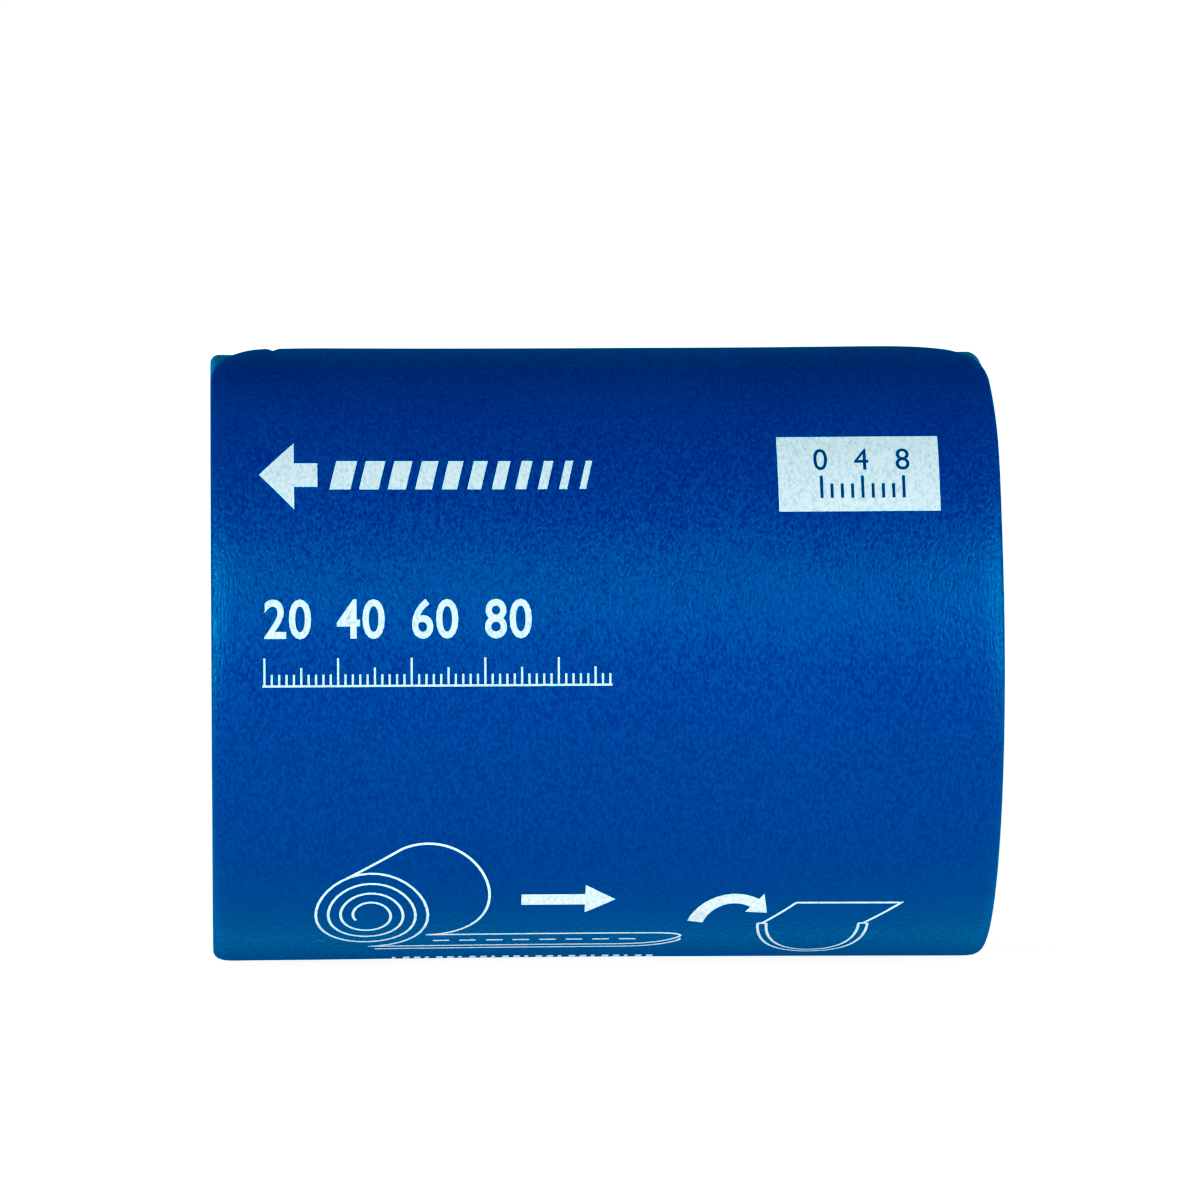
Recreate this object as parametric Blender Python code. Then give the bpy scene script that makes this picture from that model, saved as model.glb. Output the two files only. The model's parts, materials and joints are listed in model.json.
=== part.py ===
"""A padded splint: one long strip of foam, rolled up for storage and lying on its side.

Metres, +Z up. The axis of the roll runs along X. The loose end of the strip comes up the front (-Y)
and ends just past the top. The strip is two bonded layers, a thin face sheet outside a thicker back pad.
"""

import math

import bmesh
import bpy
from mathutils import Vector

# The strip, laid out flat
STRIP_LENGTH = 0.9144
STRIP_WIDTH = 0.10795
FACE_THICKNESS = 0.0010
PAD_THICKNESS = 0.0033
BOND_GAP = 0.0003
FACE_CORNER_RADIUS = 0.022
PAD_CORNER_RADIUS = 0.004
FACE_EDGE_ROUND = 0.0006
PAD_EDGE_ROUND = 0.0010

# The roll
HOLLOW_RADIUS = 0.0157
WRAP_GAP = 0.0003
LOOSE_END_ANGLE = math.radians(102)  # from straight ahead (-Y), rising over the top
REST_WIDTH = 0.012  # the foam is pressed flat this wide where the roll lies

# Fineness of the meshes
FACETS_PER_TURN = 42
CORNER_SEGMENTS = 7
EDGE_SEGMENTS = 2
SHARP_ANGLE = math.radians(40)

FACE_BLUE = (0.003, 0.075, 0.32, 1.0)
PAD_TEAL = (0.01, 0.12, 0.30, 1.0)
FOAM_ROUGHNESS = 0.45

# Worked out from the sizes above
LAMINATE = PAD_THICKNESS + BOND_GAP + FACE_THICKNESS
PITCH = LAMINATE + WRAP_GAP
FALL = PITCH / (2 * math.pi)  # how much the radius falls for each radian rolled in
INNER_MIDDLE = HOLLOW_RADIUS + LAMINATE / 2
OUTER_MIDDLE = math.sqrt(INNER_MIDDLE**2 + 2 * FALL * STRIP_LENGTH)
TOTAL_SWEEP = (OUTER_MIDDLE - INNER_MIDDLE) / FALL
REST_SWEEP = LOOSE_END_ANGLE + math.pi / 2  # from the loose end to straight down


def sweep_at(along):
    """The angle rolled in from the loose end, at a length along the middle of the strip."""
    return (OUTER_MIDDLE - math.sqrt(OUTER_MIDDLE**2 - 2 * FALL * along)) / FALL


def along_at(sweep):
    """The length along the middle of the strip at an angle rolled in from the loose end."""
    return OUTER_MIDDLE * sweep - FALL * sweep**2 / 2


def back_radius(sweep):
    """The radius of the strip's back, which faces the axis."""
    return OUTER_MIDDLE - LAMINATE / 2 - FALL * sweep


REST_HALF_ANGLE = math.asin(REST_WIDTH / 2 / (back_radius(REST_SWEEP) + LAMINATE))
FLOOR_DEPTH = (back_radius(REST_SWEEP + REST_HALF_ANGLE) + LAMINATE) * math.cos(REST_HALF_ANGLE)


def squeeze(sweep):
    """How much of its thickness the strip keeps: all of it, or less where it is pressed flat on the floor."""
    from_down = sweep - REST_SWEEP
    if abs(from_down) > REST_HALF_ANGLE * 1.0001:
        return 1.0
    return (FLOOR_DEPTH / math.cos(from_down) - back_radius(sweep)) / LAMINATE


def rolled(across, along, height):
    """Where a point of the flat strip lies once the strip is rolled up.

    across and along are measured on the flat strip, height is from its back.
    """
    sweep = sweep_at(min(max(along, 0.0), STRIP_LENGTH))
    radius = back_radius(sweep) + height * squeeze(sweep)
    rise = LOOSE_END_ANGLE - sweep
    return Vector((across, -radius * math.cos(rise), radius * math.sin(rise)))


def half_width(along, corner_radius):
    """Half the width of a layer at a length along it, narrower in the rounded corners of its two ends."""
    from_end = min(along, STRIP_LENGTH - along)
    short_of_full = max(corner_radius - from_end, 0.0)
    return STRIP_WIDTH / 2 - corner_radius + math.sqrt(max(corner_radius**2 - short_of_full**2, 0.0))


def stations(corner_radius):
    """The lengths along a layer at which its mesh has a row of points.

    The corners and the flat where the roll rests have rows of their own, and the rest is evenly spaced by angle.
    """
    corner_steps = [math.radians(90) * i / CORNER_SEGMENTS for i in range(CORNER_SEGMENTS + 1)]
    from_end = [corner_radius * (1 - math.cos(a)) for a in corner_steps]
    fixed = from_end + [STRIP_LENGTH - s for s in from_end]
    fixed += [along_at(REST_SWEEP + side * REST_HALF_ANGLE) for side in (-1, 0, 1)]
    step = 2 * math.pi / FACETS_PER_TURN
    even = [along_at(step * i) for i in range(1, int(TOTAL_SWEEP / step) + 1)]
    clear = [s for s in even if all(abs(sweep_at(s) - sweep_at(f)) > step / 2 for f in fixed)]
    return sorted(fixed + clear)


def layer_mesh(name, low, high, corner_radius, rounded_height, edge_round):
    """One layer of the strip as a closed mesh, from height low to high, rolled up.

    The edges at rounded_height, all round the outline, get a rounding of edge_round.
    """
    rows = stations(corner_radius)
    bm = bmesh.new()
    bmesh.ops.create_grid(bm, x_segments=1, y_segments=len(rows) - 1, size=1.0)
    for i, vert in enumerate(sorted(bm.verts, key=lambda v: (v.co.y, v.co.x))):
        along = rows[i // 2]
        side = 1 if i % 2 else -1
        vert.co = (side * half_width(along, corner_radius), along, low)
    made = bmesh.ops.extrude_face_region(bm, geom=bm.faces[:])
    raised = [v for v in made["geom"] if isinstance(v, bmesh.types.BMVert)]
    bmesh.ops.translate(bm, verts=raised, vec=(0, 0, high - low))
    bmesh.ops.recalc_face_normals(bm, faces=bm.faces[:])
    outline = [e for e in bm.edges if is_outline(e, rounded_height)]
    bmesh.ops.bevel(
        bm,
        geom=outline,
        offset=min(edge_round, 0.8 * (high - low)),
        segments=EDGE_SEGMENTS,
        profile=0.5,
        affect="EDGES",
        material=-1,
    )
    for vert in bm.verts:
        vert.co = rolled(*vert.co)
    # The strip rolls away from its loose end, which mirrors the mesh, so its faces are turned round
    bmesh.ops.reverse_faces(bm, faces=bm.faces[:])
    mesh = bpy.data.meshes.new(name)
    bm.to_mesh(mesh)
    bm.free()
    mesh.shade_smooth()
    mesh.set_sharp_from_angle(angle=SHARP_ANGLE)
    return mesh


def is_outline(edge, height):
    """Whether an edge of the flat layer lies at this height and has an upright face on one side."""
    level = all(abs(v.co.z - height) < 1e-7 for v in edge.verts)
    return level and any(abs(face.normal.z) < 0.5 for face in edge.link_faces)


def foam(name, colour):
    """A plain foam material."""
    material = bpy.data.materials.new(name)
    material.use_nodes = True
    shader = material.node_tree.nodes["Principled BSDF"]
    shader.inputs["Base Color"].default_value = colour
    shader.inputs["Roughness"].default_value = FOAM_ROUGHNESS
    shader.inputs["Metallic"].default_value = 0.0
    return material


def add_part(collection, name, mesh, material):
    """One named part of the splint."""
    part = bpy.data.objects.new(name, mesh)
    part.data.materials.append(material)
    collection.objects.link(part)
    return part


def stand_on_origin(parts):
    """Moves the parts together, so that the middle of the underside of their box is the origin."""
    points = [v.co for part in parts for v in part.data.vertices]
    lows = [min(p[axis] for p in points) for axis in range(3)]
    highs = [max(p[axis] for p in points) for axis in range(3)]
    for part in parts:
        part.location = (-(lows[0] + highs[0]) / 2, -(lows[1] + highs[1]) / 2, -lows[2])


def main():
    for obj in list(bpy.data.objects):
        bpy.data.objects.remove(obj)
    splint = bpy.data.collections.new("padded_splint")
    bpy.context.scene.collection.children.link(splint)

    pad_mesh = layer_mesh("back_pad", 0.0, PAD_THICKNESS, PAD_CORNER_RADIUS, 0.0, PAD_EDGE_ROUND)
    face_low = PAD_THICKNESS + BOND_GAP
    face_mesh = layer_mesh("face_sheet", face_low, LAMINATE, FACE_CORNER_RADIUS, LAMINATE, FACE_EDGE_ROUND)
    back_pad = add_part(splint, "back_pad", pad_mesh, foam("pad foam", PAD_TEAL))
    face_sheet = add_part(splint, "face_sheet", face_mesh, foam("face foam", FACE_BLUE))
    stand_on_origin([back_pad, face_sheet])


if __name__ == "__main__":
    main()
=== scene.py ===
"""The looks of a padded splint, rolled up and lying on its side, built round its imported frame.

The frame holds the roll as two plain solids. Here the foam face and the foam pad are made again with fine
rolled edges, foam grain and a generic pale print, and stand for those solids. Metres, +Z up, front -Y.
"""

import json
import logging
import math
from dataclasses import dataclass, field
from enum import Enum
from typing import Sequence

import bmesh
import bpy
from bmesh.types import BMesh, BMFace, BMVert
from bpy.types import Material, Node, NodeSocket as Socket, NodeTree as Tree, Object
from mathutils import Matrix, Vector, noise


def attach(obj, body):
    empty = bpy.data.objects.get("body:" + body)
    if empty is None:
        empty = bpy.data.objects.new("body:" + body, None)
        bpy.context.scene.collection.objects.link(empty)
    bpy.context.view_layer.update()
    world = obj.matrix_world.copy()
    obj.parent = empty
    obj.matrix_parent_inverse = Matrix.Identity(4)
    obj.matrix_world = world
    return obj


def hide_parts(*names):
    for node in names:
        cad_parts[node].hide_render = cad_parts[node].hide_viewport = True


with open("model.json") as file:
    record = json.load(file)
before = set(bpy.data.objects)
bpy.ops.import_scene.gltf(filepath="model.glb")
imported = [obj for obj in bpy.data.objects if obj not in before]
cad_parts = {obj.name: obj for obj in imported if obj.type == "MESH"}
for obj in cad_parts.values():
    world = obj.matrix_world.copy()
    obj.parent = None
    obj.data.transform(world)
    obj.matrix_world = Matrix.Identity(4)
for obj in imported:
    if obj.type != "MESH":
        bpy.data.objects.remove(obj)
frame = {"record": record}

LOG = logging.getLogger("padded_splint")
MM = 0.001
FLAT_PLACE = "flat_place"

Point = tuple[float, float]
Colour = tuple[float, float, float]
Value = float | Sequence[float] | Socket


class TickLength(Enum):
    """The kinds of printed tick on the scale, with their lengths in millimetres."""

    SHORT = 1.43
    MIDDLE = 2.34
    LONG = 3.64


@dataclass(frozen=True)
class Roll:
    """The strip's sizes, and how the flat strip is rolled up.

    A place on the flat strip is across (along the roll's axis), along (from the loose end) and height
    (from the strip's back). The loose end is at an angle that rises from straight ahead over the top.

    Attributes:
        strip_length, strip_width, thickness: the strip's sizes, with all its layers.
        wrap_gap: the gap between two turns.
        hollow_radius: the radius of the hollow down the middle.
        loose_end: the angle of the loose end.
        rest_width, rest_reach: how wide the roll is pressed flat, and within which angle of straight down.
        axis_y: where the roll's axis is, from front to back.
        end_flare: how far the side edges stand off the spiral.
        turn_wander, wander_scale, wander_layer: how far the turns wander off it, and the noise they follow.
        side_drift, drift_wave: how far the inner turns drift to the right, and how slowly.
        right_spread, loose_spread: how far the right edge stands out, and what the loose end adds to it.
        spread_place, spread_reach: where along the strip that is added.
        edge_curl, curl_reach: how far the very edge curls up over the resting place, and how wide it is.
    """

    strip_length: float = 0.9144
    strip_width: float = 0.10795
    thickness: float = 0.0046
    wrap_gap: float = 0.0003
    hollow_radius: float = 0.0157
    loose_end: float = math.radians(102)
    rest_width: float = 0.012
    rest_reach: float = math.radians(25)
    axis_y: float = 0.0
    end_flare: float = 0.0003
    turn_wander: float = 0.00008
    wander_scale: Point = (25.0, 1.1)
    wander_layer: float = 4.2
    side_drift: float = 0.0003
    drift_wave: float = 1.9
    right_spread: float = 0.00014
    loose_spread: float = 0.0003
    spread_place: float = 0.034
    spread_reach: float = 0.012
    edge_curl: float = 0.00065
    curl_reach: float = 0.0017

    @property
    def fall(self) -> float:
        """How much the radius falls for each radian rolled in."""
        return (self.thickness + self.wrap_gap) / (2 * math.pi)

    @property
    def inner_middle(self) -> float:
        """The radius of the strip's middle at its inner end."""
        return self.hollow_radius + self.thickness / 2

    @property
    def outer_middle(self) -> float:
        """The radius of the strip's middle at its loose end."""
        return math.sqrt(self.inner_middle**2 + 2 * self.fall * self.strip_length)

    @property
    def total_sweep(self) -> float:
        """The whole angle that the strip is rolled through."""
        return (self.outer_middle - self.inner_middle) / self.fall

    @property
    def rest_sweep(self) -> float:
        """The angle from the loose end to the place where the roll lies on the floor."""
        return self.loose_end + math.pi / 2

    @property
    def floor_depth(self) -> float:
        """How far the floor is below the axis."""
        radius = self.back_radius(self.rest_sweep) + self.thickness
        half = math.asin(self.rest_width / 2 / radius)
        return (self.back_radius(self.rest_sweep + half) + self.thickness) * math.cos(half)

    def sweep_at(self, along: float) -> float:
        """The angle rolled in at a length along the middle of the strip."""
        return (self.outer_middle - math.sqrt(self.outer_middle**2 - 2 * self.fall * along)) / self.fall

    def along_at(self, sweep: float) -> float:
        """The length along the middle of the strip at an angle rolled in."""
        return self.outer_middle * sweep - self.fall * sweep**2 / 2

    def along_face(self, printed: float) -> float:
        """The length along the strip's middle at a length measured on its printed outer face."""
        outer = self.outer_middle + self.thickness / 2
        return self.along_at((outer - math.sqrt(outer**2 - 2 * self.fall * printed)) / self.fall)

    def back_radius(self, sweep: float) -> float:
        """The radius of the strip's back, which faces the axis."""
        return self.outer_middle - self.thickness / 2 - self.fall * sweep

    def swell(self, across: float, sweep: float) -> float:
        """How far the soft strip stands off its ideal spiral, flared at its edges and a little uneven."""
        share = across / (self.strip_width / 2)
        x_scale, sweep_scale = self.wander_scale
        uneven = noise.noise(Vector((across * x_scale, sweep * sweep_scale, self.wander_layer)))
        return self.end_flare * share**2 + self.turn_wander * uneven

    def curl(self, across: float, from_down: float) -> float:
        """How far the strip's very edge curls up towards the axis, in every turn over the resting place."""
        near_edge = max(0.0, 1 - (self.strip_width / 2 - abs(across)) / self.curl_reach)
        aside = (from_down + math.pi) % (2 * math.pi) - math.pi
        return self.edge_curl * near_edge**2 * max(0.0, math.cos(aside)) ** 3

    def drift(self, across: float, along: float, sweep: float) -> float:
        """How far a place is moved to the right: inner turns drift there, and the right edge stands out."""
        inside = min(max(sweep / (2 * math.pi) - 1.0, 0.0), 1.0)
        drift = self.side_drift * (1 - math.cos(sweep / self.drift_wave)) / 2 * inside
        if across > 0:
            bulge = self.loose_spread * math.exp(-(((along - self.spread_place) / self.spread_reach) ** 2))
            drift += (self.right_spread + bulge) * (across / (self.strip_width / 2)) ** 2
        return drift

    def place(self, across: float, along: float, height: float) -> Vector:
        """Where a place on the flat strip lies once it is rolled up.

        Args:
            across: metres along the roll's axis, from the strip's middle line.
            along: metres from the loose end, on the strip's middle.
            height: metres above the strip's back.

        Returns:
            The point in the frame's own coordinates.
        """
        sweep = self.sweep_at(min(max(along, 0.0), self.strip_length))
        back = self.back_radius(sweep)
        from_down = sweep - self.rest_sweep
        swell = self.swell(across, sweep) - self.curl(across, from_down)
        squeeze = 1.0
        if abs(from_down) < self.rest_reach:
            room = self.floor_depth / math.cos(from_down) - back - swell
            squeeze = min(1.0, room / self.thickness)
        radius = back + swell + height * squeeze
        rise = self.loose_end - sweep
        return Vector((across + self.drift(across, along, sweep), self.axis_y - radius * math.cos(rise),
                       self.floor_depth + radius * math.sin(rise)))


def node_material(name: str, **inputs: Value) -> tuple[Material, Tree, Node]:
    """A new material with its nodes and its shader, which has these inputs (with _ for a space)."""
    material = bpy.data.materials.new(name)
    material.use_nodes = True
    shader = material.node_tree.nodes["Principled BSDF"]
    for socket, value in inputs.items():
        shader.inputs[socket.replace("_", " ")].default_value = value
    return material, material.node_tree, shader


def feed(tree: Tree, socket: Socket, value: Value) -> None:
    """Links a socket to another, or sets its value."""
    if isinstance(value, Socket):
        tree.links.new(value, socket)
    else:
        socket.default_value = value


def add_math(tree: Tree, operation: str, *values: Value) -> Socket:
    """Adds a Math node's operation on these numbers and sockets."""
    node = tree.nodes.new("ShaderNodeMath")
    node.operation = operation
    for socket, value in zip(node.inputs, values):
        feed(tree, socket, value)
    return node.outputs[0]


def add_range(tree: Tree, value: Value, low: float = 0.0, high: float = 1.0, to_low: float = 0.0,
              to_high: float = 1.0) -> Socket:
    """Adds a stretch of a value from between low and high to between to_low and to_high."""
    node = tree.nodes.new("ShaderNodeMapRange")
    for socket, given in zip(("Value", "From Min", "From Max", "To Min", "To Max"),
                             (value, low, high, to_low, to_high)):
        feed(tree, node.inputs[socket], given)
    return node.outputs["Result"]


def add_mix(tree: Tree, share: Value, first: Value, second: Value) -> Socket:
    """Adds a mix of two colours, which is all second where the share is 1."""
    node = tree.nodes.new("ShaderNodeMix")
    node.data_type = "RGBA"
    for socket, given in zip(("Factor", "A", "B"), (share, first, second)):
        feed(tree, node.inputs[socket], given)
    return node.outputs["Result"]


def white_to_camera(tree: Tree, colour: Value) -> Socket:
    """Adds a colour that the camera sees as white."""
    path = tree.nodes.new("ShaderNodeLightPath")
    return add_mix(tree, path.outputs["Is Camera Ray"], colour, (1, 1, 1, 1))


@dataclass(frozen=True)
class GrainNoise:
    """One noise field of the foam's grain.

    Attributes:
        across, along: features for each metre across the strip, and along it.
        detail: the noise's detail.
    """

    across: float
    along: float
    detail: float = 2.0

    def add(self, tree: Tree, place: Socket) -> Socket:
        """Adds the field to a node tree, at these coordinates."""
        mapping = tree.nodes.new("ShaderNodeMapping")
        mapping.inputs["Scale"].default_value = (self.across, self.along, self.across)
        tree.links.new(place, mapping.inputs["Vector"])
        texture = tree.nodes.new("ShaderNodeTexNoise")
        texture.inputs["Scale"].default_value = 1.0
        texture.inputs["Detail"].default_value = self.detail
        tree.links.new(mapping.outputs["Vector"], texture.inputs["Vector"])
        return texture.outputs["Fac"]


@dataclass(frozen=True)
class Grain:
    """The foam's grain, placed on the flat strip.

    Edge, slope and lip are in metres from the strip's middle line, and worn is from its loose end.

    Attributes:
        fine: the finest noise, of the flecks and the pits.
        cell: the noise of the foam's cells.
        streak: the long noise along the side edges.
        cloud: the coarse noise that makes the flecks uneven.
        edge, slope, lip: where the streaks set in, the surface begins to slope, and its very edge falls.
        worn, smooth: where the grain comes back in full, and the share of it before that.
        flecks, pits: the fine noise's values, from no fleck or pit to a full one.
        clouding: how much the clouds change the flecks.
        cell_rise, streak_rise, slope_fall, lip_fall: heights, as shares of the fine grain's.
        relief: the height of the fine grain in metres.
    """

    fine: GrainNoise = GrainNoise(2900.0, 1650.0)
    cell: GrainNoise = GrainNoise(1500.0, 700.0, 1.0)
    streak: GrainNoise = GrainNoise(2600.0, 260.0)
    cloud: GrainNoise = GrainNoise(60.0, 45.0)
    edge: Point = (0.0465, 0.0540)
    slope: Point = (0.0380, 0.0540)
    lip: Point = (0.0510, 0.0540)
    worn: Point = (0.026, 0.050)
    smooth: float = 0.54
    flecks: Point = (0.35, 0.65)
    pits: Point = (0.42, 0.75)
    clouding: float = 0.35
    cell_rise: float = 0.5
    streak_rise: float = 1.6
    slope_fall: float = 6.4
    lip_fall: float = 1.9
    relief: float = 0.00014

    def group(self) -> Tree:
        """The shader group of the grain, made once.

        Returns:
            A group with a Place input and Flecks, Pits and Height outputs.
        """
        known = bpy.data.node_groups.get("foam grain")
        if known:
            return known
        tree = bpy.data.node_groups.new("foam grain", "ShaderNodeTree")
        tree.interface.new_socket("Place", in_out="INPUT", socket_type="NodeSocketVector")
        for name in ("Flecks", "Pits", "Height"):
            tree.interface.new_socket(name, in_out="OUTPUT", socket_type="NodeSocketFloat")
        place = tree.nodes.new("NodeGroupInput").outputs["Place"]
        made = tree.nodes.new("NodeGroupOutput")
        fields = (self.fine, self.cell, self.streak, self.cloud)
        fine, cell, streak, cloud = [each.add(tree, place) for each in fields]
        apart = tree.nodes.new("ShaderNodeSeparateXYZ")
        tree.links.new(place, apart.inputs[0])
        from_middle = add_math(tree, "ABSOLUTE", apart.outputs["X"])
        spans = (self.edge, self.slope, self.lip)
        edge, slope, lip = [add_range(tree, from_middle, *span) for span in spans]
        full = add_range(tree, apart.outputs["Y"], *self.worn)
        strength = add_math(tree, "MULTIPLY_ADD", full, 1 - self.smooth, self.smooth)
        flecks = add_math(tree, "SUBTRACT", add_range(tree, fine, *self.flecks), 0.5)
        flecks = add_math(tree, "MULTIPLY_ADD", flecks, strength, 0.5)
        clouded = add_math(tree, "MULTIPLY_ADD", cloud, self.clouding, -self.clouding / 2)
        tree.links.new(add_math(tree, "ADD", flecks, clouded), made.inputs["Flecks"])
        tree.links.new(add_range(tree, fine, *self.pits), made.inputs["Pits"])
        height = add_math(tree, "MULTIPLY_ADD", cell, self.cell_rise, fine)
        streaks = add_math(tree, "MULTIPLY", streak, edge)
        height = add_math(tree, "MULTIPLY_ADD", streaks, self.streak_rise, height)
        height = add_math(tree, "MULTIPLY", height, strength)
        for span, fall in ((slope, self.slope_fall), (lip, self.lip_fall)):
            square = add_math(tree, "MULTIPLY", span, span)
            height = add_math(tree, "MULTIPLY_ADD", square, -fall, height)
        tree.links.new(height, made.inputs["Height"])
        return tree

    def add(self, tree: Tree, shader: Node, strength: float) -> Node:
        """Adds the grain's group to a material, raised on its shader with this strength."""
        place = tree.nodes.new("ShaderNodeAttribute")
        place.attribute_name = FLAT_PLACE
        grain = tree.nodes.new("ShaderNodeGroup")
        grain.node_tree = self.group()
        tree.links.new(place.outputs["Vector"], grain.inputs["Place"])
        bump = tree.nodes.new("ShaderNodeBump")
        bump.inputs["Strength"].default_value = strength
        bump.inputs["Distance"].default_value = self.relief
        tree.links.new(grain.outputs["Height"], bump.inputs["Height"])
        tree.links.new(bump.outputs["Normal"], shader.inputs["Normal"])
        return grain


@dataclass(frozen=True)
class Foam:
    """The finish of a layer of closed-cell foam.

    Attributes:
        name: the material's name.
        colour, fleck: the colours of the foam and of its lighter flecks, linear.
        roughness, uneven: the mean roughness, and how far the flecks take it to each side.
        dulling, glance: how much rougher it is at glancing angles, and where that sets in and is complete.
        tint, gloss: the colour of its gloss, and the specular level.
        relief: the strength of its grain.
    """

    name: str
    colour: Colour
    fleck: Colour
    roughness: float = 0.42
    uneven: float = 0.13
    dulling: float = 0.45
    glance: Point = (0.62, 0.9)
    tint: Colour = (0.0, 0.62, 1.0)
    gloss: float = 0.5
    relief: float = 1.0

    def material(self) -> Material:
        """The node material of this foam, whose grain follows the flat strip."""
        material, tree, shader = node_material(self.name, Specular_IOR_Level=self.gloss,
                                               Specular_Tint=(*self.tint, 1.0))
        flecks = Grain().add(tree, shader, self.relief).outputs["Flecks"]
        colour = add_mix(tree, flecks, (*self.colour, 1.0), (*self.fleck, 1.0))
        tree.links.new(colour, shader.inputs["Base Color"])
        low, high = self.roughness - self.uneven, self.roughness + self.uneven
        rough = add_range(tree, flecks, to_low=low, to_high=high)
        facing = tree.nodes.new("ShaderNodeLayerWeight").outputs["Facing"]
        dull = add_range(tree, facing, *self.glance, to_high=self.dulling)
        tree.links.new(add_math(tree, "ADD", rough, dull), shader.inputs["Roughness"])
        return material


@dataclass(frozen=True)
class Ink:
    """A printed ink, laid thinly on foam so that the grain shows through it.

    Attributes:
        name: the material's name.
        colour, worn: the ink's colour, and the colour where the grain shows through, linear.
        cover: how much of the grain the ink covers, 0 to 1.
        roughness, gloss: the roughness and the specular level.
        relief: the strength of the foam's grain under it.
    """

    name: str
    colour: Colour
    worn: Colour
    cover: float = 0.1
    roughness: float = 0.6
    gloss: float = 0.2
    relief: float = 0.25

    def material(self) -> Material:
        """The node material of this ink, with the foam's grain speckled through it."""
        material, tree, shader = node_material(self.name, Roughness=self.roughness,
                                               Specular_IOR_Level=self.gloss)
        pits = Grain().add(tree, shader, self.relief).outputs["Pits"]
        holes = add_range(tree, pits, low=self.cover)
        colour = add_mix(tree, holes, (*self.colour, 1.0), (*self.worn, 1.0))
        tree.links.new(colour, shader.inputs["Base Color"])
        return material


@dataclass
class EdgeProfile:
    """How a layer's top or bottom turns into its side, as steps of inset and rise from the side wall.

    Attributes:
        rounding, steps: the radius of the rounded edge, and how many steps it has.
        shoulder, shoulder_rise: how far in the gentle shoulder goes past that, and how much it rises.
        shoulder_steps: how many steps the shoulder has.
    """

    rounding: float
    steps: int = 4
    shoulder: float = 0.0
    shoulder_rise: float = 0.0
    shoulder_steps: int = 4

    def points(self) -> list[Point]:
        """The profile from the side wall inwards.

        Returns:
            Pairs of inset and rise, the first at the side wall.
        """
        turns = [math.pi / 2 * i / self.steps for i in range(self.steps + 1)]
        found = [(self.rounding * (1 - math.cos(a)), self.rounding * math.sin(a)) for a in turns]
        for i in range(1, self.shoulder_steps + 1) if self.shoulder else ():
            share = i / self.shoulder_steps
            found.append((self.rounding + self.shoulder * share,
                          self.rounding + self.shoulder_rise * (1 - (1 - share) ** 2)))
        return found

    @property
    def rise(self) -> float:
        """The whole rise of the profile."""
        return self.points()[-1][1]


@dataclass(frozen=True)
class Crease:
    """A short pinched groove that runs in from the loose end, near the strip's left corner.

    Attributes:
        across, half_width: where it is across the strip, and half its width.
        sharpness: the power that draws its sides in.
        depth, reach: how deep it is at the loose end, and how far in it fades out.
        hump, hump_aside, hump_reach: how high, how far outside it and how wide the corner stands up.
        cut_shares: where the mesh needs points, as shares of half the width.
    """

    across: float = -0.0452
    half_width: float = 0.0009
    sharpness: float = 1.2
    depth: float = 0.0004
    reach: float = 0.014
    hump: float = 0.00026
    hump_aside: float = 0.0027
    hump_reach: float = 0.0024
    cut_shares: tuple[float, ...] = (-1.0, -0.6, -0.3, 0.0, 0.3, 0.6, 1.0)

    def change(self, across: float, along: float) -> float:
        """How much the surface rises at a place, less than 0 in the groove."""
        fade = max(0.0, 1 - (along / self.reach) ** 2)
        groove = max(0.0, 1 - abs(across - self.across) / self.half_width) ** self.sharpness
        beside = math.exp(-(((across - self.across + self.hump_aside) / self.hump_reach) ** 2))
        return fade * (self.hump * beside - self.depth * groove)

    def cuts(self) -> list[float]:
        """The places across the strip where the mesh needs points."""
        return [self.across + self.half_width * share for share in self.cut_shares]


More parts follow.
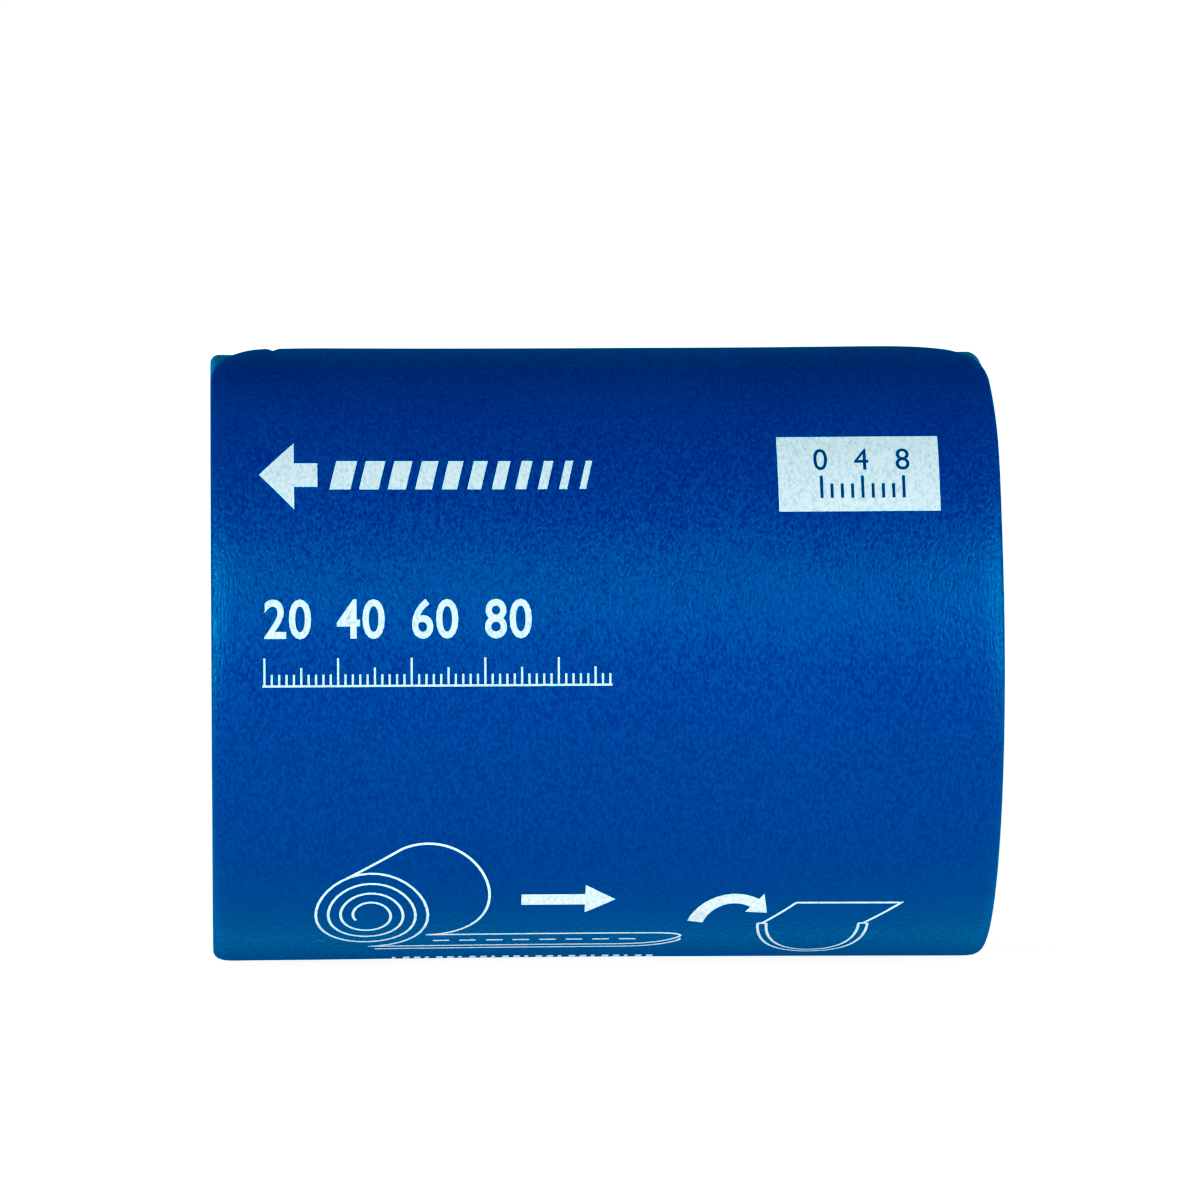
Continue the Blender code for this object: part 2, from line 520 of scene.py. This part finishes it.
@dataclass
class FoamLayer:
    """One foam layer of the strip, rolled up with it.

    Attributes:
        name, node, slot: the piece's name, the frame's node that it stands for and the record's slot, which
            is not used.
        low, high: the heights of its underside and its top on the strip.
        corner_radius, right_radius: the radius of its left corners, and of its right ones.
        top, bottom, foam: the profiles of its edges, and its finish.
        outer_step, inner_step: the angle between rows of points on the outer turn, and further in.
        outer_sweep: the angle rolled in where the closer rows end.
        corner_steps, row_gap: how many rows a corner has, and how near to them no other row may be.
        columns, crease_cuts: how many columns there are, and how far outside them a creased layer is cut.
        loose_round, plain_round: how round its top is near the loose end, left and right, and elsewhere.
        loose_reach, loose_fade: where that roundness has ended, and over what length it does.
    """

    name: str
    node: str
    slot: str
    low: float
    high: float
    corner_radius: float
    right_radius: float
    top: EdgeProfile
    bottom: EdgeProfile
    foam: Foam
    outer_step: float = math.radians(2.0)
    inner_step: float = math.radians(4.0)
    outer_sweep: float = 2.1 * math.pi
    corner_steps: int = 16
    row_gap: float = 0.0005
    columns: int = 24
    crease: Crease | None = None
    crease_cuts: Point = (0.004, 0.008)
    loose_round: Point | None = None
    plain_round: float = 0.2
    loose_reach: float = 0.045
    loose_fade: float = 0.02

    def half_width(self, roll: Roll, along: float, right: bool) -> float:
        """How far the layer reaches to one side at a length along it."""
        radius = self.right_radius if right else self.corner_radius
        short = max(radius - min(along, roll.strip_length - along), 0.0)
        return roll.strip_width / 2 - radius + math.sqrt(max(radius**2 - short**2, 0.0))

    def rows(self, roll: Roll) -> list[float]:
        """The lengths along the strip where the mesh has a row of points.

        Args:
            roll: the roll.

        Returns:
            Lengths from the loose end, close together on the outer turn and in the corners.
        """
        angles = [math.pi / 2 * i / self.corner_steps for i in range(self.corner_steps + 1)]
        ends = [self.corner_radius * (1 - math.cos(a)) for a in angles]
        fixed = ends + [roll.strip_length - s for s in ends]
        even = []
        sweep = self.outer_step
        while sweep < roll.total_sweep:
            even.append(roll.along_at(sweep))
            sweep += self.outer_step if sweep < self.outer_sweep else self.inner_step
        clear = [s for s in even if all(abs(s - f) > self.row_gap for f in fixed)]
        return sorted(fixed + clear)

    def flat(self, roll: Roll) -> BMesh:
        """The layer as a closed body on the flat strip, with its edges rounded.

        Args:
            roll: the roll.

        Returns:
            A bmesh in across, along and height.
        """
        rows = self.rows(roll)
        bm = bmesh.new()
        bmesh.ops.create_grid(bm, x_segments=1, y_segments=len(rows) - 1, size=1.0)
        for i, vert in enumerate(sorted(bm.verts, key=lambda v: (v.co.y, v.co.x))):
            side = 1 if i % 2 else -1
            reach = self.half_width(roll, rows[i // 2], side > 0)
            vert.co = (side * reach, rows[i // 2], self.low + self.bottom.rise)
        under = bm.faces[:]
        made = bmesh.ops.extrude_face_region(bm, geom=under)["geom"]
        over = [f for f in made if isinstance(f, BMFace)]
        wall = self.high - self.low - self.top.rise - self.bottom.rise
        bmesh.ops.translate(bm, verts=[v for v in made if isinstance(v, BMVert)], vec=(0, 0, wall))
        self.turn_in(bm, over, self.top, 1.0)
        self.turn_in(bm, under, self.bottom, -1.0)
        reach = roll.strip_width / 2 - self.corner_radius
        cuts = [reach * (2 * i / self.columns - 1) for i in range(self.columns + 1)]
        if self.crease:
            cuts += [side * (reach + further) for side in (-1, 1) for further in self.crease_cuts]
            cuts += self.crease.cuts()
        for cut in cuts:
            bmesh.ops.bisect_plane(bm, geom=bm.verts[:] + bm.edges[:] + bm.faces[:], dist=1e-7,
                                   plane_co=(cut, 0, 0), plane_no=(1, 0, 0))
        self.shape(bm, roll)
        return bm

    def shape(self, bm: BMesh, roll: Roll) -> None:
        """Puts in the crease, and keeps the wide rounding of the top edge to the loose end.

        Args:
            bm: the flat layer.
            roll: the roll.
        """
        for vert in bm.verts:
            across, along, height = vert.co
            if self.crease:
                share = (height - self.low) / (self.high - self.low)
                vert.co.z += self.crease.change(across, along) * share
            if self.loose_round and height > self.high - self.top.rise - 1e-6:
                edge = self.half_width(roll, along, across > 0)
                inset = edge - abs(across)
                fade = min(max((self.loose_reach - along) / self.loose_fade, 0.0), 1.0)
                wide = self.loose_round[1 if across > 0 else 0]
                scale = self.plain_round + (wide - self.plain_round) * fade
                if inset < self.top.rounding + 1e-5:
                    side = 1 if across > 0 else -1
                    vert.co.x = side * (edge - inset * scale)
                    vert.co.z = self.high - (self.high - height) * scale

    @staticmethod
    def turn_in(bm: BMesh, faces: list[BMFace], profile: EdgeProfile, way: float) -> None:
        """Insets a face region step by step along a profile, which rises (way 1) or sinks (way -1)."""
        points = profile.points()
        for (inset, rise), (next_inset, next_rise) in zip(points, points[1:]):
            bmesh.ops.inset_region(bm, faces=faces, thickness=next_inset - inset, depth=0.0,
                                   use_boundary=True, use_even_offset=True)
            inner = {v for f in faces for v in f.verts}
            bmesh.ops.translate(bm, verts=list(inner), vec=(0, 0, way * (next_rise - rise)))

    def build(self, roll: Roll) -> Object:
        """Makes the layer, rolls it up and puts it in the place of its node.

        Args:
            roll: the roll.

        Returns:
            The finished piece.
        """
        bm = self.flat(roll)
        piece = rolled_piece(bm, roll, self.name)
        dress(piece, self.foam.material())
        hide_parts(self.node)
        return piece


def rolled_piece(bm: BMesh, roll: Roll, name: str) -> Object:
    """Rolls up a flat bmesh and makes it an object, which keeps each point's place on the flat strip.

    Args:
        bm: the mesh in across, along and height; it is freed.
        roll: the roll.
        name: the object's name.

    Returns:
        The object, at the origin.
    """
    flat = [vert.co.copy() for vert in bm.verts]
    for vert in bm.verts:
        vert.co = roll.place(*vert.co)
    bmesh.ops.reverse_faces(bm, faces=bm.faces[:])
    mesh = bpy.data.meshes.new(name)
    bm.to_mesh(mesh)
    bm.free()
    places = mesh.attributes.new(FLAT_PLACE, "FLOAT_VECTOR", "POINT")
    for value, place in zip(places.data, flat):
        value.vector = place
    mesh.shade_smooth()
    return add_object(name, mesh)


def add_object(name: str, data: bpy.types.ID) -> Object:
    """Adds an object to the scene."""
    added = bpy.data.objects.new(name, data)
    bpy.context.scene.collection.objects.link(added)
    return added


def dress(piece: Object, material: Material) -> None:
    """Gives a piece its material, and lets it ride on the frame.

    Args:
        piece: the piece.
        material: its material.
    """
    piece.data.materials.clear()
    piece.data.materials.append(material)
    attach(piece, "root")


@dataclass
class PrintSheet:
    """Flat artwork in millimetres on the face: x from the strip's left edge, y down from its loose end.

    Attributes:
        name, ink: the piece's name and its finish.
        lift, depth: how far it is above the foam's face, and how thick the ink is, in metres.
        line: the width of a drawn line.
        strip_step: the length of the pieces that it is cut to, so that it bends with the roll.
        cap_share, spacing: a digit's height as a share of the font's size, and the space between digits.
        bm: the artwork so far.
    """

    name: str
    ink: Ink
    lift: float = 0.00001
    depth: float = 0.00002
    line: float = 0.38
    strip_step: float = 1.2
    cap_share: float = 0.73
    spacing: float = 1.06
    sharp_angle: float = math.radians(40)
    bm: BMesh = field(default_factory=bmesh.new)

    def area(self, outline: Sequence[Point]) -> None:
        """Adds a filled area with this outline."""
        verts = [self.bm.verts.new((x, y, 0)) for x, y in outline]
        self.bm.faces.new(verts)

    def bar(self, left: float, top: float, right: float, bottom: float, slant: float = 0.0) -> None:
        """Adds a filled bar, its top moved right by slant."""
        self.area([(left, bottom), (right, bottom), (right + slant, top), (left + slant, top)])

    def stroke(self, points: Sequence[Point]) -> None:
        """Adds a line through these points."""
        line = [Vector(p) for p in fine_line(points, self.strip_step)]
        sides: list[tuple[BMVert, BMVert]] = []
        for i, point in enumerate(line):
            back = point - line[i - 1] if i else Vector((0, 0))
            on = line[i + 1] - point if i < len(line) - 1 else Vector((0, 0))
            first = (back if back.length else on).normalized()
            second = on.normalized() if on.length else first
            normal = Vector((-(first + second).y, (first + second).x)).normalized()
            half = self.line / 2 / max(normal.dot(Vector((-first.y, first.x))), 0.5)
            sides.append(tuple(self.bm.verts.new((*(point + normal * half * way), 0)) for way in (1, -1)))
        for (a, b), (c, d) in zip(sides, sides[1:]):
            self.bm.faces.new((a, b, d, c))

    def digits(self, text: str, left: float, base: float, tall: float, weight: float = 0.0,
               wide: float = 0.9) -> None:
        """Adds plain digits.

        Args:
            text: the digits.
            left: where the first begins.
            base: the line that they stand on.
            tall: their height.
            weight: how much the strokes are thickened.
            wide: their width as a share of the font's own.
        """
        curve = bpy.data.curves.new("digits", "FONT")
        curve.body = text
        curve.size = tall / self.cap_share
        curve.offset = weight
        curve.space_character = self.spacing
        curve.resolution_u = 4
        text_object = bpy.data.objects.new("digits", curve)
        mesh = bpy.data.meshes.new_from_object(text_object)
        mesh.transform(Matrix.Translation((left, base, 0)) @ Matrix.Diagonal((wide, -1.0, 1.0, 1.0)))
        self.bm.from_mesh(mesh)
        bpy.data.objects.remove(text_object)
        bpy.data.curves.remove(curve)
        bpy.data.meshes.remove(mesh)

    def build(self, roll: Roll) -> Object:
        """Cuts the artwork fine, thickens it to a skin of ink and wraps it on the roll.

        Args:
            roll: the roll that it is printed on.

        Returns:
            The finished piece.
        """
        bm = self.bm
        bmesh.ops.remove_doubles(bm, verts=bm.verts[:], dist=1e-4)
        bmesh.ops.triangulate(bm, faces=[f for f in bm.faces if len(f.verts) > 4])
        low, high = (pick(v.co.y for v in bm.verts) for pick in (min, max))
        for i in range(1, int((high - low) / self.strip_step) + 1):
            bmesh.ops.bisect_plane(bm, geom=bm.verts[:] + bm.edges[:] + bm.faces[:], dist=1e-5,
                                   plane_co=(0, low + i * self.strip_step, 0), plane_no=(0, 1, 0))
        bmesh.ops.recalc_face_normals(bm, faces=bm.faces[:])
        down = [f for f in bm.faces if f.normal.z < 0]
        bmesh.ops.reverse_faces(bm, faces=down)
        made = bmesh.ops.extrude_face_region(bm, geom=bm.faces[:])["geom"]
        raised = {v for v in made if isinstance(v, BMVert)}
        for vert in bm.verts:
            printed = vert.co.y * MM
            height = roll.thickness + self.lift + (self.depth if vert in raised else 0.0)
            vert.co = (vert.co.x * MM - roll.strip_width / 2, roll.along_face(printed), height)
        piece = rolled_piece(bm, roll, self.name)
        piece.data.set_sharp_from_angle(angle=self.sharp_angle)
        dress(piece, self.ink.material())
        return piece


def fine_line(points: Sequence[Point], step: float) -> list[Point]:
    """The line's points with more put between them, no further apart than step."""
    found: list[Point] = []
    for (ax, ay), (bx, by) in zip(points, points[1:]):
        pieces = max(1, math.ceil(math.hypot(bx - ax, by - ay) / step))
        found += [(ax + (bx - ax) * i / pieces, ay + (by - ay) * i / pieces) for i in range(pieces)]
    return found + [points[-1]]


def arc(centre: Point, radii: Point, start: float, end: float, steps: int = 24) -> list[Point]:
    """Points on an ellipse's arc, with angles in degrees and y downwards."""
    angles = [math.radians(start + (end - start) * i / steps) for i in range(steps + 1)]
    return [(centre[0] + radii[0] * math.cos(a), centre[1] - radii[1] * math.sin(a)) for a in angles]


@dataclass
class FacePrint:
    """The generic pale print on the outer face: scales, plain numbers, arrows and line drawings.

    All places are in millimetres: x from the strip's left edge, y down the face from the loose end.

    Attributes:
        facing: the y of the line that faces the camera.
        drawings, repeat: how far below that line the drawings begin, and how far on they are repeated.
        pale, bright, dark: the inks of the bold marks and the panel, the drawings, and the panel's marks.
    """

    facing: float
    drawings: float = 29.0
    repeat: float = 108.0
    pale: Ink = Ink("pale ink", (0.445, 0.56, 0.585), (0.29, 0.43, 0.48))
    bright: Ink = Ink("bright ink", (0.64, 0.84, 0.80), (0.42, 0.62, 0.62))
    dark: Ink = Ink("dark ink", (0.0, 0.012, 0.10), (0.0, 0.03, 0.17))

    def build(self, roll: Roll) -> list[Object]:
        """Makes all the print.

        Args:
            roll: the roll that it is printed on.

        Returns:
            The pieces.
        """
        bold = PrintSheet("print_bold", self.pale)
        self.direction_band(bold)
        self.number_line(bold)
        self.number_ticks(bold)
        panel = PrintSheet("print_panel", self.pale)
        marks = PrintSheet("print_panel_marks", self.dark, lift=0.00004)
        self.light_panel(panel, marks)
        fine = PrintSheet("print_lines", self.bright)
        solid = PrintSheet("print_arrows", self.bright)
        for turn in (0.0, self.repeat):
            start = self.facing + self.drawings + turn
            self.unrolling(fine, 12.0, start + 1.5)
            self.trough(fine, 83.0, start + 15.5)
            self.row_of_bars(fine, 25.0, start + 30.3, 24)
            self.straight_arrow(solid, 42.5, start + 9.0, 13.0)
            self.curved_arrow(solid, (72.0, start + 17.0), (5.5, 8.0), 165, 60)
        return [sheet.build(roll) for sheet in (bold, panel, marks, fine, solid)]

    def direction_band(self, sheet: PrintSheet) -> None:
        """Draws a bold arrow and a row of slanted bars that grow thinner."""
        middle = self.facing - 27.1
        tip, root, tail = 6.6, 11.4, 14.6
        barb, half = 5.6, 2.0
        sheet.area([(tip, middle), (root, middle - barb), (root, middle - half), (tail, middle - half),
                    (tail, middle + half), (root, middle + half), (root, middle + barb)])
        left = 16.2
        for i in range(11):
            wide = 2.9 - 0.2 * i
            sheet.bar(left, middle - 2.4, left + wide, middle + 2.4, slant=1.0)
            left += wide + 1.15 + 0.06 * i

    def number_line(self, sheet: PrintSheet) -> None:
        """Draws the bold numbers of the scale."""
        for i, number in enumerate(("20", "40", "60", "80")):
            sheet.digits(number, 7.1 + 10.0 * i, self.facing - 3.3, 5.4, weight=0.14, wide=0.86)

    def number_ticks(self, sheet: PrintSheet) -> None:
        """Draws the fine ticks of the scale, one for each millimetre, on a thin line."""
        base, thin = self.facing + 3.4, 0.3
        sheet.bar(6.9, base - thin, 54.5, base)
        for i in range(48):
            kind = TickLength.SHORT if i % 5 else TickLength.MIDDLE if i % 10 else TickLength.LONG
            sheet.bar(7.05 + i, base - thin - kind.value, 7.35 + i, base - thin)

    def light_panel(self, panel: PrintSheet, marks: PrintSheet) -> None:
        """Draws the light panel, and the dark numbers and ticks on it.

        Args:
            panel: the sheet of the panel itself.
            marks: the sheet of the dark marks.
        """
        top, bottom = self.facing - 33.6, self.facing - 20.9
        panel.bar(77.6, top, 99.6, bottom)
        for i, number in enumerate(("0", "4", "8")):
            marks.digits(number, 82.4 + 5.6 * i, top + 6.0, 3.9, wide=0.8)
        base = top + 10.6
        for i in range(9):
            tall = 3.6 if i % 4 == 0 else 2.3
            marks.bar(83.3 + i * 1.4, base - tall, 83.7 + i * 1.4, base)

    def unrolling(self, sheet: PrintSheet, left: float, top: float) -> None:
        """Draws a roll with its strip pulled out to the right, and a dashed line along the strip.

        Args:
            sheet: the sheet of fine lines.
            left: the left end of the drawing.
            top: the top of it.
        """
        middle = (left + 9.5, top + 11.0)
        back = (middle[0] + 8.0, middle[1] - 4.4)
        radii = (8.6, 10.4)

        def coil(turned: float) -> Point:
            """The place on the near end's spiral at an angle wound in, in degrees."""
            shrunk = (radii[0] - turned / 210.0, radii[1] - turned / 175.0)
            return arc(middle, shrunk, turned - 90, turned - 90, 1)[0]

        sheet.stroke([coil(turned) for turned in range(0, 1390, 10)])
        sheet.stroke([coil(204.5)] + arc(back, radii, 114.5, -90, 36))
        near, far = middle[1] + radii[1], back[1] + radii[1]
        end = bend((left + 43.5, near), (left + 49.0, near), (left + 51.6, near - 2.0), 8)
        end += bend((left + 51.6, near - 2.0), (left + 55.2, far), (left + 48.5, far), 10)[1:]
        sheet.stroke([(middle[0], near)] + end + [(back[0], far)])
        thick = [(x, y + 1.25) for x, y in end[:13]]
        sheet.stroke([(middle[0] + 1.0, near + 1.25)] + thick)
        for i in range(8):
            x = left + 18.5 + 3.7 * i
            sheet.stroke([(x, near - 2.2), (x + 2.3, near - 2.2)])

    def trough(self, sheet: PrintSheet, middle: float, top: float) -> None:
        """Draws the end of a strip that is bent to a trough.

        Args:
            sheet: the sheet of fine lines.
            middle: the middle of the drawing, across.
            top: the height of the trough's rims.
        """
        for step in (0.0, 1.2):
            sheet.stroke(arc((middle, top), (7.6 - step, 12.0 - step), 180, 360, 28))
        for side in (-1, 1):
            sheet.stroke([(middle + side * 7.6, top), (middle + side * 6.4, top)])
        sheet.stroke([(middle - 7.0, top), (middle - 2.5, top - 5.5), (middle + 12.0, top - 5.5),
                      (middle + 7.0, top)])

    def row_of_bars(self, sheet: PrintSheet, left: float, top: float, count: int) -> None:
        """Draws a row of small upright bars of uneven width."""
        for i in range(count):
            x = left + 1.55 * i
            sheet.bar(x, top, x + (0.9 if i % 3 else 0.5), top + 2.6)

    def curved_arrow(self, sheet: PrintSheet, centre: Point, radii: Point, start: float,
                     end: float) -> None:
        """Draws a solid curved arrow that grows towards its head.

        Args:
            sheet: the sheet of solid areas.
            centre: the centre of its arc.
            radii: the arc's radii.
            start: the angle of its tail, in degrees.
            end: the angle of its head's root.
        """
        outer = arc(centre, (radii[0] + 1.1, radii[1] + 1.1), start, end, 12)
        inner = arc(centre, (radii[0] - 1.1, radii[1] - 1.1), start, end, 12)
        way = 1 if end > start else -1
        tip = arc(centre, radii, end, end + way * 26, 1)[1]
        barbs = [arc(centre, (radii[0] + r, radii[1] + r), end, end, 1)[0] for r in (2.5, -2.5)]
        sheet.area(outer + [barbs[0], tip, barbs[1]] + inner[::-1])

    def straight_arrow(self, sheet: PrintSheet, x: float, y: float, long: float) -> None:
        """Draws a solid arrow that points right, from its tail's middle."""
        neck = x + long - 4.2
        sheet.area([(x, y - 1.2), (neck, y - 1.2), (neck, y - 3.2), (x + long, y), (neck, y + 3.2),
                    (neck, y + 1.2), (x, y + 1.2)])


def bend(start: Point, pull: Point, end: Point, steps: int) -> list[Point]:
    """Points on a curve that leaves start towards pull and comes to end from it."""
    shares = [i / steps for i in range(steps + 1)]
    return [tuple((1 - s) ** 2 * a + 2 * s * (1 - s) * b + s * s * c for a, b, c in zip(start, pull, end))
            for s in shares]


class LampUse(Enum):
    """What a studio lamp lights."""

    BODY = "body colour"
    SHEEN = "sheen"
    BOTH = "both"


@dataclass(frozen=True)
class Lamp:
    """One soft lamp, aimed at the middle of the roll.

    Attributes:
        name: its name.
        azimuth, rise: degrees from straight ahead towards +X, and above the level.
        size, power: its width and height, and its power in watts.
        use: whether it lights the body colour, the sheen or both.
        distance: how far away it is.
    """

    name: str
    azimuth: float
    rise: float
    size: Point
    power: float
    use: LampUse = LampUse.BOTH
    distance: float = 1.5

    def add(self, aim: Vector) -> None:
        """Puts the lamp in the scene, aimed at this point."""
        light = bpy.data.lights.new(self.name, "AREA")
        light.shape = "RECTANGLE"
        light.size, light.size_y = self.size
        light.energy = self.power
        lamp = add_object(self.name, light)
        turn, lift = math.radians(self.azimuth), math.radians(self.rise)
        away = Vector((math.sin(turn) * math.cos(lift), -math.cos(turn) * math.cos(lift), math.sin(lift)))
        lamp.location = aim + away * self.distance
        lamp.rotation_euler = (-away).to_track_quat("-Z", "Y").to_euler()
        lamp.visible_diffuse = self.use is not LampUse.SHEEN
        lamp.visible_glossy = self.use is not LampUse.BODY


@dataclass
class Studio:
    """The pale floor, the soft lamps and the camera.

    Attributes:
        aim: the middle of the roll's axis.
        black_red: the picture's black level in red, which deepens its reds.
        glow, glow_reach: the floor's glow, near the object and far off, and the distances where it turns.
        near_bounce, middle_bounce, far_bounce: the glow's colour for all but the camera, going outwards.
        middle_reach, far_reach: the distances where it turns to the second, and to the third.
        camera_side, camera_distance, camera_rise: how far to the right, how far off and how high it is.
        camera_yaw, camera_dip, camera_roll: how far it is turned right, down and about its own axis.
    """

    aim: Vector
    lamps: tuple[Lamp, ...] = (
        Lamp("body lamp left", -38, 19.5, (0.5, 0.7), 18.4, LampUse.BODY),
        Lamp("body lamp right", 38, 19.5, (0.5, 0.7), 18.4, LampUse.BODY),
        Lamp("sheen lamp left", -38, 27, (0.5, 0.45), 15.2, LampUse.SHEEN),
        Lamp("sheen lamp right", 38, 27, (0.5, 0.45), 15.2, LampUse.SHEEN),
        Lamp("rim lamp left", -74, 13, (0.6, 0.6), 19.5, LampUse.SHEEN),
        Lamp("rim lamp right", 74, 13, (0.6, 0.6), 16.5, LampUse.SHEEN),
        Lamp("fill lamp left", -142, 8, (0.5, 0.5), 11.0, LampUse.BODY),
        Lamp("fill lamp right", 142, 8, (0.5, 0.5), 11.0, LampUse.BODY),
        Lamp("side lamp left", -80, 5, (0.5, 0.35), 9.5),
        Lamp("side lamp right", 80, 5, (0.5, 0.35), 6.0),
    )
    room_light: Colour = (0.012, 0.015, 0.02)
    black_red: float = 0.1
    floor_grey: float = 0.14
    floor_roughness: float = 0.9
    glow: Point = (0.93, 1.01)
    glow_reach: Point = (0.1, 0.9)
    near_bounce: Colour = (1.0, 0.78, 1.02)
    middle_bounce: Colour = (1.0, 0.93, 1.0)
    far_bounce: Colour = (0.9, 0.66, 0.98)
    middle_reach: Point = (0.03, 0.08)
    far_reach: Point = (0.16, 0.32)
    focal_length: float = 256.2
    camera_side: float = -0.0517
    camera_distance: float = 1.203
    camera_rise: float = math.radians(8.0)
    camera_yaw: float = math.radians(2.496)
    camera_dip: float = math.radians(7.592)
    camera_roll: float = math.radians(0.049)

    def build(self) -> None:
        """Adds everything to the scene."""
        self.add_floor()
        self.add_world()
        for lamp in self.lamps:
            lamp.add(self.aim)
        self.add_camera()

    def add_floor(self) -> None:
        """Adds a wide level floor that stays white round the object."""
        mesh = bpy.data.meshes.new("floor")
        bm = bmesh.new()
        bmesh.ops.create_grid(bm, x_segments=1, y_segments=1, size=20.0)
        bm.to_mesh(mesh)
        bm.free()
        floor = add_object("floor", mesh)
        mesh.materials.append(self.floor_material())

    def floor_material(self) -> Material:
        """The floor's white, which glows a little less near the object, so that its shadow shows."""
        white, tree, shader = node_material("floor white", Base_Color=(*[self.floor_grey] * 3, 1),
                                            Roughness=self.floor_roughness, Specular_IOR_Level=0.0)
        where = tree.nodes.new("ShaderNodeTexCoord")
        length = tree.nodes.new("ShaderNodeVectorMath")
        length.operation = "LENGTH"
        tree.links.new(where.outputs["Object"], length.inputs[0])
        distance = length.outputs["Value"]
        glow = add_range(tree, distance, *self.glow_reach, *self.glow)
        tree.links.new(glow, shader.inputs["Emission Strength"])
        bounce = (*self.near_bounce, 1)
        for reach, colour in ((self.middle_reach, self.middle_bounce), (self.far_reach, self.far_bounce)):
            bounce = add_mix(tree, add_range(tree, distance, *reach), bounce, (*colour, 1))
        tree.links.new(white_to_camera(tree, bounce), shader.inputs["Emission Color"])
        return white

    def add_world(self) -> None:
        """Adds a faint cool room light behind a plain white backdrop, and deepens the picture's reds."""
        world = bpy.data.worlds.new("studio")
        world.use_nodes = True
        tree = world.node_tree
        colour = white_to_camera(tree, (*self.room_light, 1))
        tree.links.new(colour, tree.nodes["Background"].inputs["Color"])
        bpy.context.scene.world = world
        view = bpy.context.scene.view_settings
        view.view_transform = "Standard"
        view.use_curve_mapping = True
        view.curve_mapping.black_level = (self.black_red, 0.0, 0.0)
        view.curve_mapping.update()

    def add_camera(self) -> None:
        """Adds the camera, a little above the roll and to its left."""
        data = bpy.data.cameras.new("camera")
        data.lens = self.focal_length
        data.sensor_width = 36.0
        data.clip_end = 100.0
        camera = add_object("camera", data)
        rise, yaw, dip = self.camera_rise, self.camera_yaw, self.camera_dip
        back = self.camera_distance
        at = self.aim + Vector((self.camera_side, -back * math.cos(rise), back * math.sin(rise)))
        look = Vector((math.sin(yaw), math.cos(yaw) * math.cos(dip), -math.cos(yaw) * math.sin(dip)))
        turn = look.to_track_quat("-Z", "Y").to_matrix().to_4x4()
        camera.matrix_world = Matrix.Translation(at) @ turn @ Matrix.Rotation(self.camera_roll, 4, "Z")
        bpy.context.scene.camera = camera


def main() -> None:
    """Builds the splint's looks on the frame."""
    logging.basicConfig(level=logging.INFO, format="%(name)s: %(message)s")
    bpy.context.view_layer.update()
    mounts = {m["name"]: m["pos_m"] for m in frame["record"]["mounts"]}
    roll = Roll(axis_y=mounts["resting_flat"][1])
    studio = Studio(Vector((0, roll.axis_y, roll.floor_depth)))
    face_blue = Foam("blue foam", (0.0, 0.0094, 0.144), (0.0, 0.0290, 0.197))
    pad_teal = Foam("teal foam", (0.003, 0.045, 0.14), (0.014, 0.12, 0.28))
    face = FoamLayer("foam_face", "face_sheet", "face_foam", low=0.0036, high=0.0046, corner_radius=0.022,
                     right_radius=0.0225, top=EdgeProfile(0.0007, 5, 0.0024, 0.0002),
                     bottom=EdgeProfile(0.0001, 1), foam=face_blue, crease=Crease())
    pad = FoamLayer("foam_pad", "back_pad", "pad_foam", low=0.0, high=0.00358, corner_radius=0.004,
                    right_radius=0.004, top=EdgeProfile(0.001, 5), bottom=EdgeProfile(0.001, 3),
                    foam=pad_teal, loose_round=(1.15, 1.5))
    facing = roll.loose_end - studio.camera_rise
    outer = roll.outer_middle + roll.thickness / 2
    pages = FacePrint((outer * facing - roll.fall * facing**2 / 2) / MM)
    for piece in [layer.build(roll) for layer in (face, pad)] + pages.build(roll):
        LOG.info("%s: %d faces", piece.name, len(piece.data.polygons))
    studio.build()


if __name__ == "__main__":
    main()
